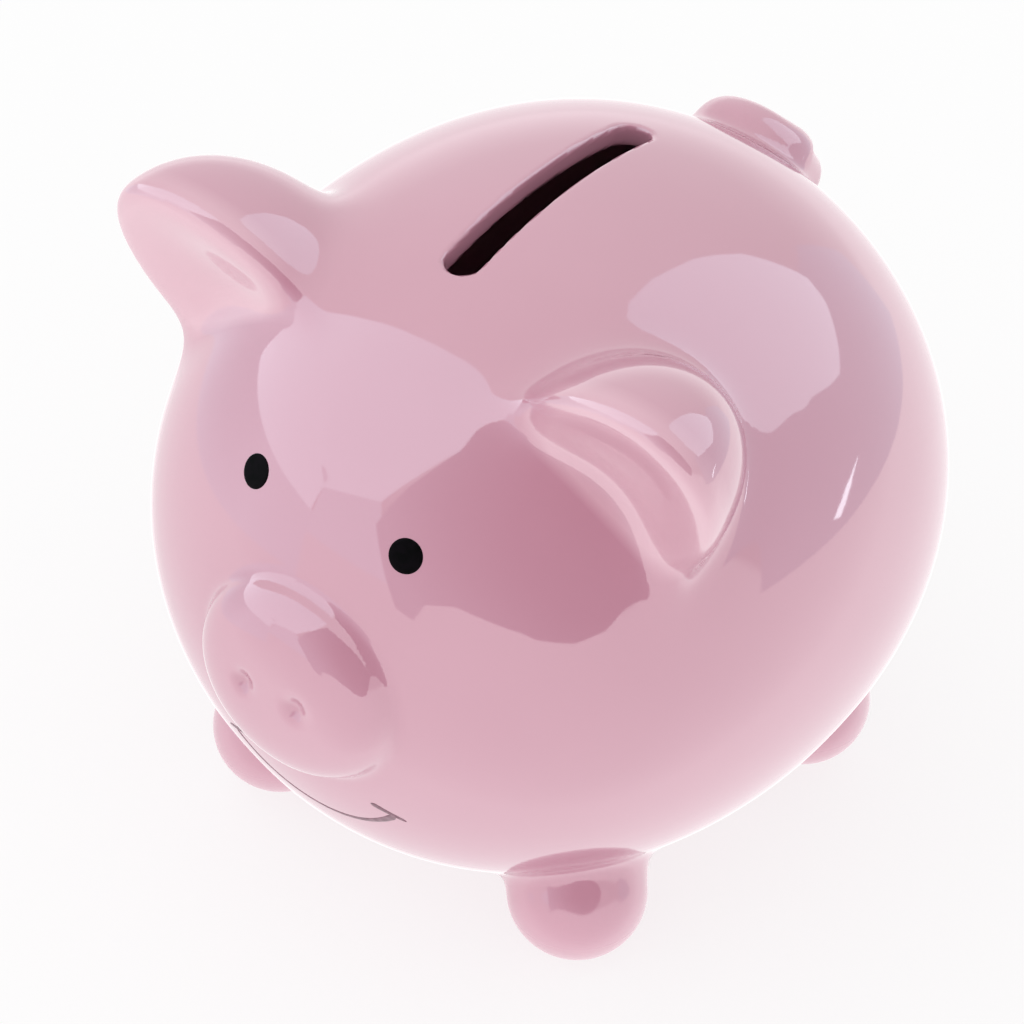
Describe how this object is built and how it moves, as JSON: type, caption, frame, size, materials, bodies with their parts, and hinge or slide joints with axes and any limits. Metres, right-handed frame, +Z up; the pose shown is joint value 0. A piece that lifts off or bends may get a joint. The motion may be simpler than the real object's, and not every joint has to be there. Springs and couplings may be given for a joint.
{
  "type": "piggy bank",
  "caption": "Round glazed ceramic pig-shaped coin bank with a coin slot along its back, short stub feet, forward ears, a disc snout, a curled tail and a soft pull-out stopper in its belly",
  "frame": {"origin": "middle of the pig seen from above, on the table plane its feet stand on", "axes": "+Z up, the pig faces -Y, its own left side is +X"},
  "size_m": [0.096, 0.1068, 0.0936],
  "materials": {
    "pink_glaze": "clear high-gloss glaze over pale pink slip",
    "black_enamel": "painted black under the glaze",
    "grey_enamel": "thin painted line",
    "stopper_rubber": "soft translucent-white moulded plug, satin"
  },
  "bodies": {
    "bank": {"body_shell": "pink_glaze", "ear_left": "pink_glaze", "ear_right": "pink_glaze", "snout": "pink_glaze", "foot_front_left": "pink_glaze", "foot_front_right": "pink_glaze", "foot_rear_left": "pink_glaze", "foot_rear_right": "pink_glaze", "tail": "pink_glaze", "eye_left": "black_enamel", "eye_right": "black_enamel", "smile_line": "grey_enamel", "smile_corner_left": "grey_enamel", "smile_corner_right": "grey_enamel"},
    "plug": {"stopper": "stopper_rubber"}
  },
  "joints": [
    {"name": "stopper_pull", "type": "slide", "parent": "bank", "child": "plug", "axis": [0, 0, -1], "range_m": [0, 0.03]}
  ]
}
